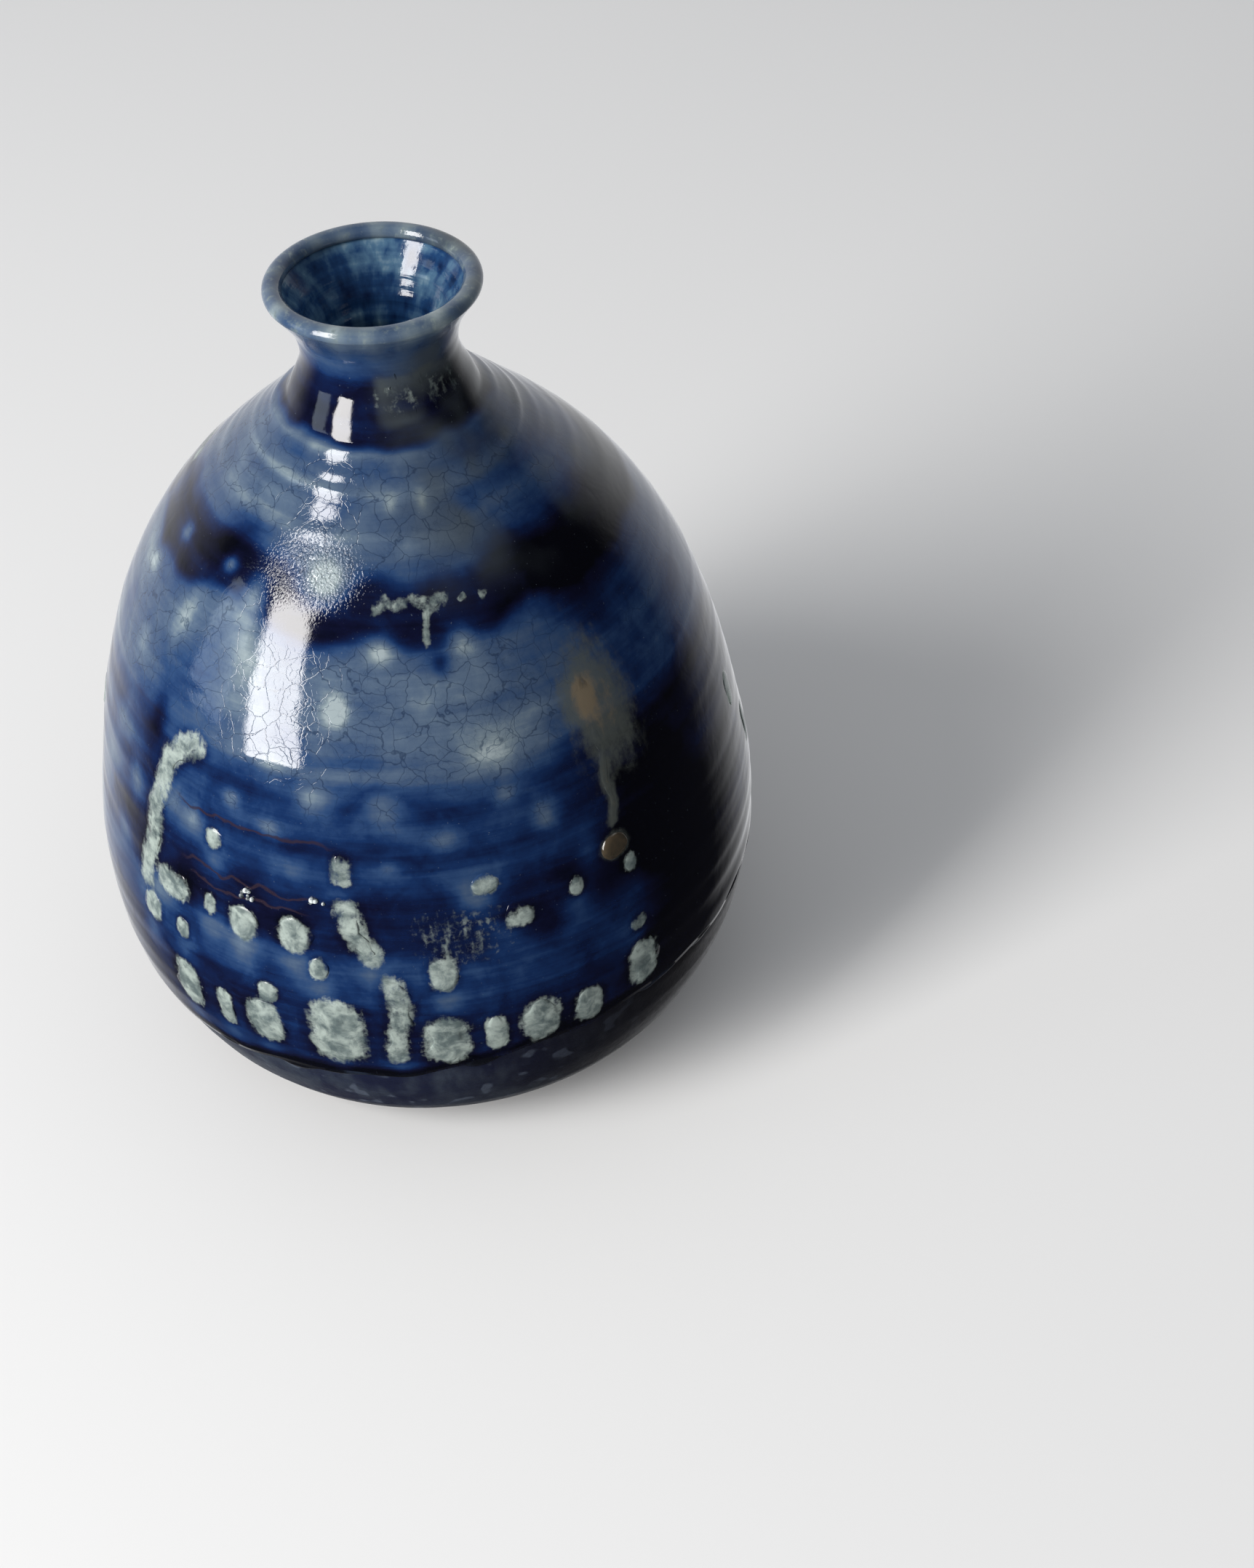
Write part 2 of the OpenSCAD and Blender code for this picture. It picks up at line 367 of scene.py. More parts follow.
def places(piece):
    """The piece's points as turn in degrees, radius and height in millimetres."""
    flat = np.empty(len(piece.data.vertices) * 3, dtype=np.float32)
    piece.data.vertices.foreach_get("co", flat)
    spots = flat.reshape(-1, 3).astype(float) / MM
    x, y, height = spots.T
    return np.degrees(np.arctan2(x, -y)), np.hypot(x, y), height


def put(piece, turn, radius, height):
    """Moves the piece's points."""
    at = np.radians(turn)
    spots = np.stack([radius * np.sin(at), -radius * np.cos(at), height], axis=1) * MM
    piece.data.vertices.foreach_set("co", spots.astype(np.float32).ravel())
    piece.data.update()


def paced(low, high, gap):
    """Heights from low to high, so spaced that the outline's points are about gap millimetres apart."""
    fine = np.arange(low, high, 0.05)
    run = np.concatenate([[0.0], np.cumsum(np.hypot(np.diff(fine), np.diff(outside(fine))))])
    steps = int(run[-1] / gap)
    return list(np.interp(np.linspace(0.0, run[-1], steps + 1), run, fine))


def dressed(piece, material, slot_name, *nodes):
    """The piece takes its finish and the CAD nodes that it stands for; its slot name is not used."""
    piece.data.materials.append(material)
    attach(piece, "root")
    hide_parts(*nodes)


WASH_DEEP = 0.32
WASH_TOP = 31.0
TUCKED_UNDER = 2.5
wash_rows = paced(FOOT_TOP + 0.15, WASH_TOP, 0.9)
outline = [(outside(h) - COAT_STEP, h) for h in wash_rows]
outline += [(outside(h) - COAT_STEP - WASH_DEEP, h) for h in reversed(wash_rows)]
wash_skin = thrown("wash_skin", outline, 300)
turn, radius, height = places(wash_skin)
reach = 1.0 - (WASH_TOP - dip_line(turn) - TUCKED_UNDER) / (WASH_TOP - FOOT_TOP)
lowered = FOOT_TOP + (height - FOOT_TOP) * reach
sink = outside(height) - radius
shrunk = np.maximum(swell(turn, lowered), -0.14) * smooth(lowered, 3.0, 12.0)
put(wash_skin, turn, outside(lowered) - sink + shrunk, lowered)


def wash_finish():
    material = clean_material("wash_glaze")
    graph = Graph(material.node_tree)
    spread_out = graph.clouds(9.0, detail=3.0, stretch=(0.7, 0.7, 1.0))
    streak = graph.clouds(2.2, detail=3.0, stretch=(1.0, 1.0, 0.25), shift=(7.0, 3.0, 0.0))
    fine = graph.clouds(0.8, detail=4.0, rough=0.65)
    # The wash is painted darker on its right, away from the window light: painted shade. left is its lit
    # colour and right its shaded colour, and the pale spots are painted only on the lit side.
    side = graph.field("side")
    thin = (spread_out * 0.6 + streak * 0.4).step(0.36, 0.66)
    left = graph.mix(thin, (0.007, 0.010, 0.030), (0.030, 0.040, 0.058))
    right = graph.mix(thin, (0.0025, 0.002, 0.003), (0.007, 0.0065, 0.009))
    colour = graph.mix(side, left, right)
    spots = graph.clouds(3.6, detail=1.0, shift=(0.0, 21.0, 0.0)).step(0.60, 0.68)
    colour = graph.mix(spots * (1 - side) * 0.8, colour, (0.060, 0.075, 0.105))
    colour = graph.mix(fine.step(0.60, 0.72) * 0.35, colour, (0.020, 0.014, 0.011))
    surface = graph.bump(spread_out * 0.10 + fine * 0.05)
    graph.finish({"Base Color": colour, "Roughness": 0.22 + fine * 0.25, "Normal": surface})
    return material


dressed(wash_skin, wash_finish(), "wash_glaze", "base_wash")

# ---- Cobalt coat: body, neck and lip ---------------------------------------------------------
# The bottle was held by its foot and dipped in cobalt glaze, so one coat covers body, neck and lip.
# It is thin, pale and crackled where it ran off, and almost black where it pooled.

COAT_DEEP = 0.50
LIP_ROUND, LIP_WIDE = 1.2, 1.35
FIRST_ROW, FINE_FROM, FINE_TO, LAST_ROW = 17.0, 95.0, 113.0, 125.2
DIP_REACH = 62.0
NECK_TOP = 122.5
lip_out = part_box("lip_coat")[1][0] / MM
lip_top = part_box("lip_coat")[1][2] / MM
rows = paced(FIRST_ROW, FINE_FROM, 0.80)[:-1] + paced(FINE_FROM, FINE_TO, 0.42)[:-1]
rows += paced(FINE_TO, LAST_ROW, 0.65)
outline = [(outside(h), h) for h in rows]
for bend in np.radians(np.linspace(-18.0, 198.0, 13)):
    inward, down = LIP_WIDE * (1.0 - math.cos(bend)), LIP_ROUND * (1.0 - math.sin(bend))
    outline.append((lip_out - inward, lip_top - down))
for h in reversed(rows[::8]):
    outline.append((outside(h) - COAT_DEEP, h))
coat = thrown("cobalt_skin", outline, 400)
turn, radius, height = places(coat)
slid = height + (dip_line(turn) - FIRST_ROW) * (1.0 - smooth(height, FIRST_ROW, DIP_REACH))
deep = outside(height) - radius
moved = outside(slid) - deep + swell(turn, slid)
radius = np.where(height < NECK_TOP, moved, radius)
put(coat, turn, radius, np.where(height < NECK_TOP, slid, height))

# Brown veins on the belly: height, first turn and last turn.
VEINS = [(64.6, -52, -17), (55.6, -50, -20), (53.2, -48, -22)]
# Cobalt glaze, from thin and pale to pooled and almost black.
COBALT = [
    (0.00, (0.230, 0.275, 0.288)), (0.10, (0.130, 0.168, 0.195)), (0.22, (0.068, 0.100, 0.148)),
    (0.34, (0.038, 0.064, 0.116)), (0.46, (0.017, 0.042, 0.106)), (0.58, (0.0052, 0.0190, 0.070)),
    (0.70, (0.0030, 0.0082, 0.036)), (0.83, (0.0026, 0.0034, 0.015)), (1.00, (0.0008, 0.0010, 0.003))]


def fired_glaze(name, ash_more=0.0):
    """Cobalt glaze with the ash and iron glazes that melted into it, as the painted fields say."""
    material = clean_material(name)
    graph = Graph(material.node_tree)
    fine = graph.clouds(0.9, detail=5.0, rough=0.68)
    small = graph.clouds(0.4, detail=2.0, shift=(13.0, 0.0, 5.0))
    lump = graph.clouds(6.5, detail=3.0, warp=0.6)
    lines = graph.clouds(1.5, detail=4.0, rough=0.6, stretch=(0.05, 0.05, 1.0))
    depth = graph.field("pool") + (lump - 0.48) * 0.42 + (lines - 0.48) * 0.30 + (fine - 0.5) * 0.12
    colour = graph.add("ShaderNodeValToRGB", {"stops": COBALT}, {0: depth})
    # A grey-green stain on the neck, and on the right shoulder a grey painted sheen that stands for the
    # pale room's reflection.
    grey = graph.clouds(11.0, detail=2.0, shift=(0.0, 50.0, 0.0)).step(0.40, 0.70)
    colour = graph.mix(grey * graph.field("grey") * 0.8, colour, (0.046, 0.056, 0.060))

    here = graph.place()
    bent = graph.add("ShaderNodeTexNoise", {}, {"Vector": here, "Scale": 0.30, "Detail": 3.0}, out=1)
    bending = {0: bent, 1: (3.0, 3.0, 3.0), 2: here}
    web = graph.add("ShaderNodeVectorMath", {"operation": "MULTIPLY_ADD"}, bending)
    edges = {"feature": "DISTANCE_TO_EDGE"}
    coarse = graph.add("ShaderNodeTexVoronoi", edges, {"Vector": web, "Scale": 0.34})
    tight = graph.add("ShaderNodeTexVoronoi", edges, {"Vector": web, "Scale": 0.75})
    crack = 1 - coarse.step(0.002, 0.034)
    hairline = (1 - tight.step(0.002, 0.040)) * lump.step(0.35, 0.6) * 0.50
    pale = 1 - depth.step(0.30, 0.66)
    crazed = crack.maths("MAXIMUM", crack, hairline) * pale * graph.field("craze")
    colour = graph.tint(crazed * 0.70, colour, (0.26, 0.32, 0.42))
    dust = small.step(0.72, 0.78)
    colour = graph.mix(dust * 0.35, colour, (0.12, 0.15, 0.17))

    x, y, z = (graph.add("ShaderNodeSeparateXYZ", {}, {"Vector": here}, out=axis) for axis in range(3))
    turn = x.maths("ARCTAN2", x, y * -1.0) * math.degrees(1.0)
    wander = graph.clouds(4.0, detail=2.0, shift=(60.0, 0.0, 0.0)) * 3.4 - 1.7
    for level, first, last in VEINS:
        along = turn.step(first, first + 5) * (1 - turn.step(last - 5, last))
        vein = (1 - abs(z - level + wander).step(0.10, 0.34)) * along
        colour = graph.mix(vein * 0.75, colour, (0.022, 0.014, 0.020))

    dripped = graph.clouds(1.6, detail=4.0, rough=0.6, stretch=(1.0, 1.0, 0.22), shift=(40.0, 9.0, 0.0))
    rust = graph.field("iron") + (fine - 0.5) * 0.34 + (dripped - 0.5) * 0.55
    colour = graph.mix(rust.step(0.20, 0.62) * 0.80, colour, (0.070, 0.079, 0.071))
    colour = graph.mix(rust.step(0.60, 0.95) * 0.75, colour, (0.165, 0.124, 0.074))
    streaky = graph.clouds(1.0, detail=4.0, stretch=(1.0, 1.0, 0.30), shift=(3.0, 9.0, 0.0))
    ragged = graph.field("ash") + ash_more + (fine - 0.5) * 0.90 + (streaky - 0.5) * 0.70
    ash = ragged.step(0.30, 0.78)
    cloudy = graph.clouds(2.8, detail=5.0, rough=0.6, shift=(0.0, 0.0, 30.0), warp=0.4)
    chalk = graph.mix(cloudy.step(0.32, 0.66), (0.078, 0.104, 0.104), (0.290, 0.340, 0.310))
    chalk = graph.mix(fine.step(0.54, 0.72) * 0.60, chalk, (0.060, 0.080, 0.078))
    colour = graph.mix(ash * 0.94, colour, chalk)

    matt = graph.field("frost") * small.step(0.35, 0.65)
    roughness = 0.035 + fine * 0.03 + ash * 0.22 + rust.step(0.3, 0.8) * 0.10 + matt * 0.16
    surface = graph.bump(lump * 0.072 + lines * 0.007 + fine * 0.009 + ash * fine * 0.015 - crazed * 0.008
                         + matt * small * 0.16)
    graph.finish({"Base Color": colour, "Roughness": roughness, "Normal": surface, "IOR": 1.48})
    return material


cobalt = fired_glaze("cobalt_glaze")
dressed(coat, cobalt, "cobalt_glaze", "cobalt_coat", "neck_coat", "lip_coat")

# ---- Lining ----------------------------------------------------------------------------------
# Glaze was poured in, swilled round and tipped out again. It shows inside the mouth, where the
# fingers left rings in the clay, and runs down to the floor of the bottle.

FLOOR_FROM, MOUTH_TO = 6.0, 126.4
heights = np.arange(FLOOR_FROM, MOUTH_TO, 0.5)
inner = measured("lining_glaze", heights, 0.0, 1.0)
kept = inner > 0.5
heights, inner = heights[kept], inner[kept]
LINING_DEEP = 0.25
outline = [(0.0, heights[0] - 0.02)]
outline += [(r, h) for r, h in zip(inner, heights)]
outline += [(r + LINING_DEEP, h) for r, h in zip(inner[::-6], heights[::-6])]
outline += [(0.0, heights[0] - LINING_DEEP)]
lining = thrown("lining_skin", outline, 160)
turn, radius, height = places(lining)
rings = 0.07 * np.sin(height * 2.1 + 0.8 * np.sin(np.radians(turn))) + 0.05 * np.sin(height * 3.7)
in_the_neck = smooth(height, 100.0, 108.0) * (1.0 - smooth(height, 123.0, 125.5))
put(lining, turn, radius + rings * in_the_neck, height)


def lining_finish():
    material = clean_material("lining_glaze")
    graph = Graph(material.node_tree)
    tears = graph.clouds(2.4, detail=4.0, stretch=(1.0, 1.0, 0.16))
    rings = graph.clouds(1.4, detail=3.0, stretch=(0.06, 0.06, 1.0))
    fine = graph.clouds(0.8, detail=4.0)
    depth = 0.52 + (tears - 0.5) * 1.1 + (rings - 0.5) * 0.60
    colour = graph.add("ShaderNodeValToRGB", {"stops": [
        (0.10, (0.250, 0.340, 0.370)), (0.34, (0.062, 0.128, 0.205)), (0.55, (0.011, 0.040, 0.112)),
        (0.80, (0.0025, 0.008, 0.036))]}, {0: depth})
    surface = graph.bump(tears * 0.08 + rings * 0.10 + fine * 0.02)
    graph.finish({"Base Color": colour, "Roughness": 0.08 + fine * 0.06, "Normal": surface, "IOR": 1.48})
    return material


dressed(lining, lining_finish(), "lining_glaze", "lining_glaze")

# ---- Glaze roll at the dip line --------------------------------------------------------------
# The dipped coat ends in a thick roll of glaze, black where it is thickest. It swells here and
# there into a short drip over the wash.

ROLL_ROUND = 0.75
ROLL_RADIUS, ROLL_HEIGHT = 50.0, 20.0
TUBE_SIDES = 12
tube = []
for step in range(TUBE_SIDES):
    bend = math.tau * step / TUBE_SIDES
    tube.append((ROLL_RADIUS + ROLL_ROUND * math.cos(bend), ROLL_HEIGHT + ROLL_ROUND * math.sin(bend)))
roll = thrown("glaze_roll_skin", tube, 420)
turn, radius, height = places(roll)
at = np.radians(turn)
fat = 0.86 + 0.20 * np.sin(9.0 * at + 1.0) * np.sin(4.0 * at) + 0.14 * np.sin(31.0 * at)
drip = np.clip(np.sin(17.0 * at + 0.5) * np.sin(6.0 * at + 2.0) - 0.35, 0.0, 1.0) * 3.4
down = np.clip((ROLL_HEIGHT - height) / ROLL_ROUND, 0.0, 1.0)
tilt = dip_line(turn) + 0.15 + (height - ROLL_HEIGHT) * fat * 0.9 - down * drip
out = (radius - ROLL_RADIUS) * fat
put(roll, turn, outside(tilt) - COAT_DEEP + out * 0.75 + np.clip(swell(turn, tilt), -0.6, 0.0), tilt)


def roll_finish():
    material = clean_material("pooled_glaze")
    graph = Graph(material.node_tree)
    fine = graph.clouds(0.9, detail=4.0)
    lump = graph.clouds(5.0, detail=3.0)
    colour = graph.mix(lump.step(0.45, 0.70), (0.0025, 0.003, 0.005), (0.010, 0.014, 0.024))
    colour = graph.mix(fine.step(0.62, 0.74) * 0.4, colour, (0.034, 0.028, 0.020))
    surface = graph.bump(lump * 0.12 + fine * 0.03)
    graph.finish({"Base Color": colour, "Roughness": 0.08 + fine * 0.10, "Normal": surface})
    return material


dressed(roll, roll_finish(), "pale_glaze", "glaze_roll")

# ---- Ash dabs --------------------------------------------------------------------------------
# Pale ash glaze was flicked over the wet coat. In the kiln the dabs melted into low domes that
# sagged a little, in three loose rows round the lower belly.

# Each melt is noted as its kind, path, half width and strength, for the firing at the end.
marks = []


def on_skin(turn, height, out):
    """The point at a turn and height, out millimetres proud of the fired coat, in metres."""
    slope = float(outside(height + 0.3) - outside(height - 0.3)) / 0.6
    long = math.hypot(1.0, slope)
    radius = float(outside(height)) + float(swell(turn, height)) + out / long
    at = math.radians(turn)
    return Vector((radius * math.sin(at), -radius * math.cos(at), height - out * slope / long)) * MM


def melt(shape, path, half, rise, blunt=2.0, wobble=0.22, sunk=0.40):
    """A puddle along (turn, height) points: half its width, and its rise over the coat, in millimetres."""
    count = 20 + 10 * (len(path) - 2)
    drop = bmesh.new()
    bmesh.ops.create_uvsphere(drop, u_segments=24, v_segments=count, radius=1.0)
    turns = [spot[0] for spot in path]
    highs = [spot[1] for spot in path]
    stops = np.linspace(0.0, 1.0, len(path))
    for point in drop.verts:
        x, y, along = point.co
        ring = max(math.hypot(x, y), 1e-6)
        part = (along + 1.0) / 2.0
        turn, height = float(np.interp(part, stops, turns)), float(np.interp(part, stops, highs))
        ahead, behind = min(part + 0.05, 1.0), max(part - 0.05, 0.0)
        girth = float(outside(height))
        over = math.radians(float(np.interp(ahead, stops, turns) - np.interp(behind, stops, turns))) * girth
        up = float(np.interp(ahead, stops, highs) - np.interp(behind, stops, highs))
        long = max(math.hypot(over, up), 1e-6)
        spot = Vector((turn * 0.35 + x / ring * 1.5, height * 0.35, y / ring))
        rough = 1.0 + wobble * 2.0 * noise.noise(spot)
        wide = half * max(1.0 - abs(along) ** blunt, 0.0) ** (1.0 / blunt) * rough * x / ring
        out = rise * (y / ring) ** 2 if y > 0.0 else sunk * y / ring
        shoulder = max(1.0 - abs(along) ** 6.0, 0.0) ** 0.5
        turn = turn + math.degrees(wide * up / long / girth)
        height = height - wide * over / long
        point.co = on_skin(turn, height, out * shoulder - 0.05)
    lent = bpy.data.meshes.new("drop")
    drop.to_mesh(lent)
    drop.free()
    shape.from_mesh(lent)
    bpy.data.meshes.remove(lent)


def dab_path(turn, height, half_wide, half_high):
    """The path and half width of a dab, from its half width and half height in millimetres."""
    if half_high >= half_wide:
        return [(turn, height - half_high), (turn, height + half_high)], half_wide
    reach = math.degrees(half_wide / float(outside(height)))
    return [(turn - reach, height), (turn + reach, height)], half_high


# Turn, height, half width and half height of each dab in front. Three rows go round the back.
DABS = [
    (-20, 32, 4.7, 6.4), (-33, 30.6, 3.3, 4.4), (-2, 30.6, 3.8, 4.7), (6, 31, 1.9, 3.7),
    (13.5, 31.4, 3.3, 4.2), (22, 30.8, 2.5, 3.3), (33, 33.4, 2.9, 4.2), (-49.5, 30.4, 3, 4.6),
    (-41, 30, 1.6, 3.9), (-51.5, 49.2, 3.4, 3.1), (-42.3, 49.6, 1.2, 1.8), (-35.5, 48.8, 2.6, 2.8),
    (-26, 49.3, 2.6, 2.9), (-22, 44.2, 1.5, 1.9), (-1.5, 43.8, 2.3, 2.8), (-49, 42, 1.5, 1.8),
    (-57, 41.6, 2.3, 2.5), (-31.5, 37.4, 1.8, 1.9), (-41.5, 61, 1.5, 1.7), (12, 51.4, 2.1, 2),
    (22.6, 53, 1.4, 1.4), (33.5, 52.4, 1.3, 1.6), (33, 41.6, 1.6, 1.4), (7, 57.8, 2, 1.8)]
for row in range(3):
    for number in range(9 - row):
        level = 58 - 12 * row + 4 * math.sin(math.radians(137 * number))
        tall = 2.6 + 0.6 * row + 0.5 * math.cos(math.radians(97 * number))
        DABS.append((75 + 7 * row + 24 * number, level, 1.8 + 0.7 * row, tall))

dabs = bmesh.new()
for dab in DABS:
    path, half = dab_path(*dab)
    melt(dabs, path, half * 1.10, 0.22, wobble=0.32)
    marks.append(("ash", path, half * 0.86, 1.0))
bmesh.ops.recalc_face_normals(dabs, faces=dabs.faces)
ash_dabs = settled("ash_dab_drops", dabs)
dressed(ash_dabs, fired_glaze("ash_glaze", 0.04), "ash_glaze", "ash_dabs")

# ---- Ash runs --------------------------------------------------------------------------------
# Where the ash glaze was thick it ran down the belly in narrow rivers before it froze. Four are in
# front and three round the back.

# The (turn, height) points that each river runs along, and half its width.
RUNS = [
    ([(-47, 73.6), (-50.5, 72.0), (-53.5, 69.0), (-54.8, 65.0), (-56.5, 60.5), (-56.5, 55.0),
      (-58.5, 50.0), (-59, 46.0)], 2.0),
    ([(-17, 63.5), (-17, 58.5)], 1.6),
    ([(-16.5, 54.8), (-15.5, 51.0), (-12.8, 47.2)], 2.1),
    ([(-10, 42.5), (-8.8, 38.0), (-9.8, 33.0), (-10.5, 27.5)], 1.9),
    ([(115.5, 76.0), (114.5, 69.0), (115, 62.0)], 1.6),
    ([(182.5, 70.0), (183.5, 61.0), (183, 52.0)], 1.5),
    ([(228, 78.0), (229, 70.0), (227.5, 62.0)], 1.7)]
rivers = bmesh.new()
for path, half in RUNS:
    melt(rivers, path, half * 1.15, 0.16, blunt=4.0, wobble=0.45)
    marks.append(("ash", path, half, 0.74))
bmesh.ops.recalc_face_normals(rivers, faces=rivers.faces)
ash_runs = settled("ash_rivers", rivers)
dressed(ash_runs, fired_glaze("ash_glaze_run", 0.0), "ash_glaze", "ash_runs")

# ---- Shoulder ash ----------------------------------------------------------------------------
# Ash glaze caught in the groove under the neck and along the edge of the dark band on the shoulder.
# It froze as thin ragged patches, with one short drip at the front.

# Points along each patch, half its width, and how strong it is.
PATCHES = [
    ([(0, 114.6), (18, 115.0), (36, 114.8), (54, 114.4)], 2.6, 0.34),
    ([(-9, 94.2), (-6.5, 95.0), (-4.2, 94.3), (-1.5, 94.8)], 0.70, 0.60),
    ([(1.0, 94.9), (4.2, 94.2), (8.6, 94.7)], 0.80, 0.62),
    ([(3.8, 94.2), (3.4, 92.6), (2.8, 90.6)], 0.55, 0.66), ([(12, 94.2), (14.5, 94.8)], 0.50, 1.0),
    ([(17.6, 94.0), (20, 94.3)], 0.50, 1.0),
    ([(149, 95.0), (165, 95.0)], 1.0, 1.0), ([(-121, 95.5), (-105, 95.5)], 1.0, 1.0)]
caught = bmesh.new()
for path, half, strength in PATCHES:
    melt(caught, path, half * 1.1, 0.07, blunt=4.0, wobble=0.5)
    marks.append(("ash", path, half, strength))
bmesh.ops.recalc_face_normals(caught, faces=caught.faces)
shoulder = settled("shoulder_ash_patches", caught)
dressed(shoulder, fired_glaze("ash_glaze_shoulder", 0.0), "ash_glaze", "shoulder_ash")

# ---- Iron run --------------------------------------------------------------------------------
# One splash of iron glaze on the right of the shoulder. Its rusty core ran down as a thin drip
# that ends in a fat drop.

IRON = [
    ([(32.5, 82.6), (32.5, 75.5)], 4.4),
    ([(32.2, 75.4), (33.4, 71.0), (32.0, 66.5), (32.8, 63.5), (31.6, 60.2)], 1.0)]
splash = bmesh.new()
for path, half in IRON:
    melt(splash, path, half, 0.08, blunt=3.0, wobble=0.5)
    marks.append(("iron", path, half, 0.60))
bmesh.ops.recalc_face_normals(splash, faces=splash.faces)
iron = settled("iron_splash", splash)
dressed(iron, fired_glaze("iron_glaze"), "iron_glaze", "iron_run")

# ---- Glaze beads -----------------------------------------------------------------------------
# A drop hangs at the end of the iron run, and two clusters of tiny glassy beads stand where
# bubbles froze on the left of the belly.

spread = random.Random(7)
beads = bmesh.new()
path, half = dab_path(31, 56.2, 2.3, 2.1)
melt(beads, path, half, 0.75, wobble=0.1)
marks.append(("iron", path, half, 0.75))
# Turn and height of each cluster, and how many beads it has.
CLUSTERS = [(-34.3, 54.0, 7), (-21.3, 55.9, 5)]
BEAD_ROUND = 0.42
for turn, height, count in CLUSTERS:
    for number in range(count):
        size = BEAD_ROUND * spread.uniform(0.6, 1.25)
        spot = on_skin(turn + spread.uniform(-1.4, 1.4), height + spread.uniform(-0.7, 0.7), size * 0.35)
        bmesh.ops.create_icosphere(beads, subdivisions=2, radius=size * MM, matrix=Matrix.Translation(spot))
bmesh.ops.recalc_face_normals(beads, faces=beads.faces)
bead_piece = settled("glaze_bead_drops", beads)


def bead_finish():
    material = clean_material("bead_glaze")
    graph = Graph(material.node_tree)
    fine = graph.clouds(0.7, detail=3.0)
    rusty = graph.mix(fine, (0.026, 0.024, 0.018), (0.062, 0.044, 0.026))
    # The glassy beads go from a dark glass colour to bright patches: the bright patches are painted glints.
    glass_and_glints = graph.mix(fine.step(0.4, 0.6), (0.05, 0.06, 0.07), (0.55, 0.60, 0.60))
    colour = graph.mix(graph.field("iron").step(0.2, 0.5), glass_and_glints, rusty)
    graph.finish({"Base Color": colour, "Roughness": 0.10 + fine * 0.10, "Normal": graph.bump(fine * 0.05)})
    return material


dressed(bead_piece, bead_finish(), "bead_glaze", "glaze_beads")

# ---- The firing ------------------------------------------------------------------------------
# In the kiln the glazes run together. Each point of every glaze piece is given how deep the cobalt lies
# there, how much ash and iron has melted in, and where it crazed or frosted. The depth also holds painted
# shade on the right and painted highlights and a painted reflection on the left, and other fields hold a
# painted sheen on the right shoulder and the painted shade of the wash.

# Height, and how deep the cobalt lies there: 0 is thin and pale, 1 is pooled and black.
DEPTHS = [
    (17, 0.76), (29, 0.74), (37, 0.70), (40.5, 0.58), (46, 0.57), (49, 0.78), (56, 0.78), (58.5, 0.62),
    (61, 0.54), (64, 0.66), (67, 0.56), (70.5, 0.64), (73.5, 0.44), (75, 0.30), (77, 0.34), (80, 0.27),
    (88, 0.27), (90.2, 0.40), (91.8, 0.84), (96.0, 0.80), (98.2, 0.44), (101, 0.28), (103, 0.36),
    (105, 0.26), (106.5, 0.38), (108.4, 0.30), (109.6, 0.84), (116.0, 0.78), (118.0, 0.54),
    (122.0, 0.42), (124.4, 0.24), (127, 0.20)]
# Turn, height, half width in degrees, half height, and how much deeper the cobalt lies. The pale spot at
# turn -23 under the frosted patch is a painted highlight, and the pale spot at turn -40 is a painted
# reflection of the dimmer panel beside the window.
SPOTS = [
    (-23, 96.2, 6.5, 2.2, -0.78), (-42, 93.2, 3.6, 2.2, -0.55), (-53, 95.0, 2.6, 1.0, -0.60),
    (-75, 94.0, 3.4, 1.0, -0.50), (-82, 88.0, 4.0, 1.4, -0.40), (-17.5, 83.0, 2.8, 2.0, -0.50),
    (-40, 86.5, 4.5, 6.0, -0.22), (13, 77.0, 6.0, 3.2, -0.30), (-8, 90.2, 3.4, 1.8, -0.42),
    (11, 90.2, 3.2, 1.8, -0.42), (-22, 71.0, 3.4, 2.0, -0.34), (-9, 70.0, 3.4, 2.2, -0.30),
    (1, 65.5, 2.6, 1.6, -0.34), (19, 65.6, 2.4, 2.2, -0.36), (-38, 68.4, 2.0, 1.4, -0.40),
    (-53, 79.5, 8.0, 4.0, 0.12), (-78, 55.0, 4.5, 5.0, -0.40), (-68, 49.5, 3.2, 3.2, -0.40),
    (-84, 45.0, 3.6, 4.0, -0.36), (7, 57.2, 3.4, 2.4, -0.34), (-26, 60.0, 4.0, 2.2, -0.20),
    (26, 57.0, 2.4, 3.4, -0.26), (-60, 66.0, 2.6, 8.0, 0.10), (-66, 74.0, 6.0, 2.0, 0.20),
    (-72, 66.0, 3.0, 3.0, -0.24), (46, 50.0, 9.5, 23.0, 0.42), (57, 38.0, 9.0, 10.0, 0.20),
    (5, 88.0, 2.0, 1.6, 0.30), (46, 90.0, 14.0, 6.0, 0.28), (-60, 97.0, 14.0, 2.0, 0.20),
    (35, 60.0, 4.0, 8.0, 0.20), (-30, 75.6, 3.0, 1.6, -0.22), (-60, 88.0, 3.0, 3.4, -0.26),
    (-70, 80.0, 4.0, 2.4, -0.24), (-52, 72.4, 2.6, 1.6, -0.28), (-63, 61.0, 2.4, 2.6, -0.28),
    (-9, 62.0, 2.2, 1.3, -0.26), (13, 70.4, 2.2, 1.3, -0.30), (-30, 65.8, 2.2, 1.4, -0.30),
    (-3, 103.8, 2.6, 1.0, -0.24), (9, 103.6, 2.2, 1.0, -0.22), (-46, 62.6, 1.8, 2.2, -0.24),
    (-15, 76.6, 8.0, 0.8, 0.16), (-36, 46.0, 2.6, 1.8, -0.22)]
# More spots at random, round the back and then on the left: how many, and the range of each value.
SCATTERED = [
    (26, (62.0, 298.0), (56.0, 95.0), (2.5, 7.0), (1.5, 4.0), (-0.30, 0.18)),
    (30, (-95.0, -44.0), (38.0, 92.0), (1.8, 4.5), (1.2, 3.4), (-0.34, 0.24))]
for count, *ranges in SCATTERED:
    SPOTS += [tuple(spread.uniform(*limits) for limits in ranges) for number in range(count)]


